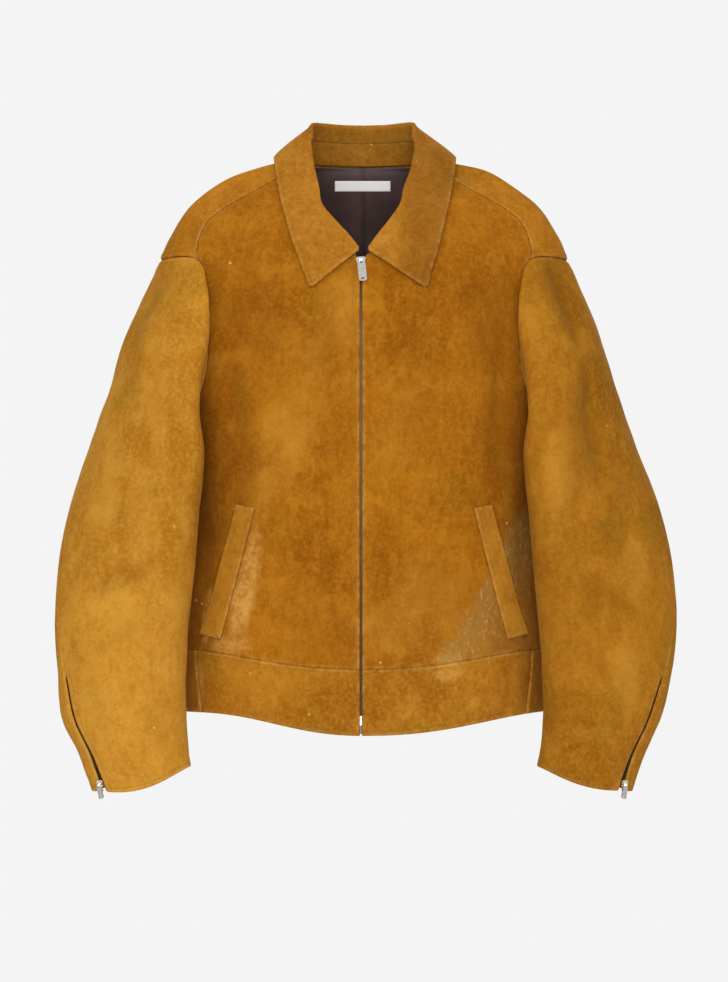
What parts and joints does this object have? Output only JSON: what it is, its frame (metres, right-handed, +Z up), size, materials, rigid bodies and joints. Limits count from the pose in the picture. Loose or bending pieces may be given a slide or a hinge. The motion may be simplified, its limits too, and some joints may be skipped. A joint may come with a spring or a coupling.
{
  "type": "suede jacket",
  "caption": "Short tan suede zip jacket with a turned-down collar, slanted welt pockets, a waistband and zipped cuffs, filled out as if worn.",
  "frame": {"origin": "middle of the neck opening, just below the seam of the collar at the back, where the jacket hangs from the wearer's shoulders", "axes": "+Z up along the centre back, +Y to the back, +X to the viewer's right (the wearer's left)"},
  "size_m": [0.6893, 0.2468, 0.7542],
  "materials": {
    "suede_front": "matt nap",
    "suede_sleeve": "matt nap",
    "suede_band": "matt nap",
    "suede_collar": "matt nap",
    "lining": "satin weave",
    "label": "woven tape",
    "tape": "woven tape",
    "metal": "polished"
  },
  "bodies": {
    "jacket": {"front_left": "suede_front", "front_right": "suede_front", "back": "suede_front", "waistband_left": "suede_band", "waistband_right": "suede_band", "waistband_back": "suede_band", "sleeve_top_left": "suede_sleeve", "sleeve_under_left": "suede_sleeve", "sleeve_top_right": "suede_sleeve", "sleeve_under_right": "suede_sleeve", "collar": "suede_collar", "collar_stand": "suede_collar", "lining": "lining", "neck_label": "label", "welt_left": "suede_band", "welt_right": "suede_band", "zip_tape_left": "tape", "zip_tape_right": "tape", "front_zip_slider": "metal", "front_zip_box": "metal", "cuff_tape_left": "tape", "cuff_left_slider": "metal", "cuff_tape_right": "tape", "cuff_right_slider": "metal"},
    "front_pull": {"front_zip_pull": "metal"},
    "left_cuff_pull": {"cuff_left_pull": "metal"},
    "right_cuff_pull": {"cuff_right_pull": "metal"}
  },
  "joints": [
    {"name": "front_pull_swing", "type": "hinge", "parent": "jacket", "child": "front_pull", "pos_m": [-0.0034, -0.09663, -0.09973], "axis": [-0.995, -0.0334, -0.0941], "range_deg": [0, 150]},
    {"name": "left_cuff_pull_swing", "type": "hinge", "parent": "jacket", "child": "left_cuff_pull", "pos_m": [-0.29595, -0.08202, -0.68465], "axis": [-0.7788, 0.5775, -0.2448], "range_deg": [0, 150]},
    {"name": "right_cuff_pull_swing", "type": "hinge", "parent": "jacket", "child": "right_cuff_pull", "pos_m": [0.29213, -0.08198, -0.68455], "axis": [-0.7818, -0.5889, 0.2047], "range_deg": [0, 150]}
  ]
}
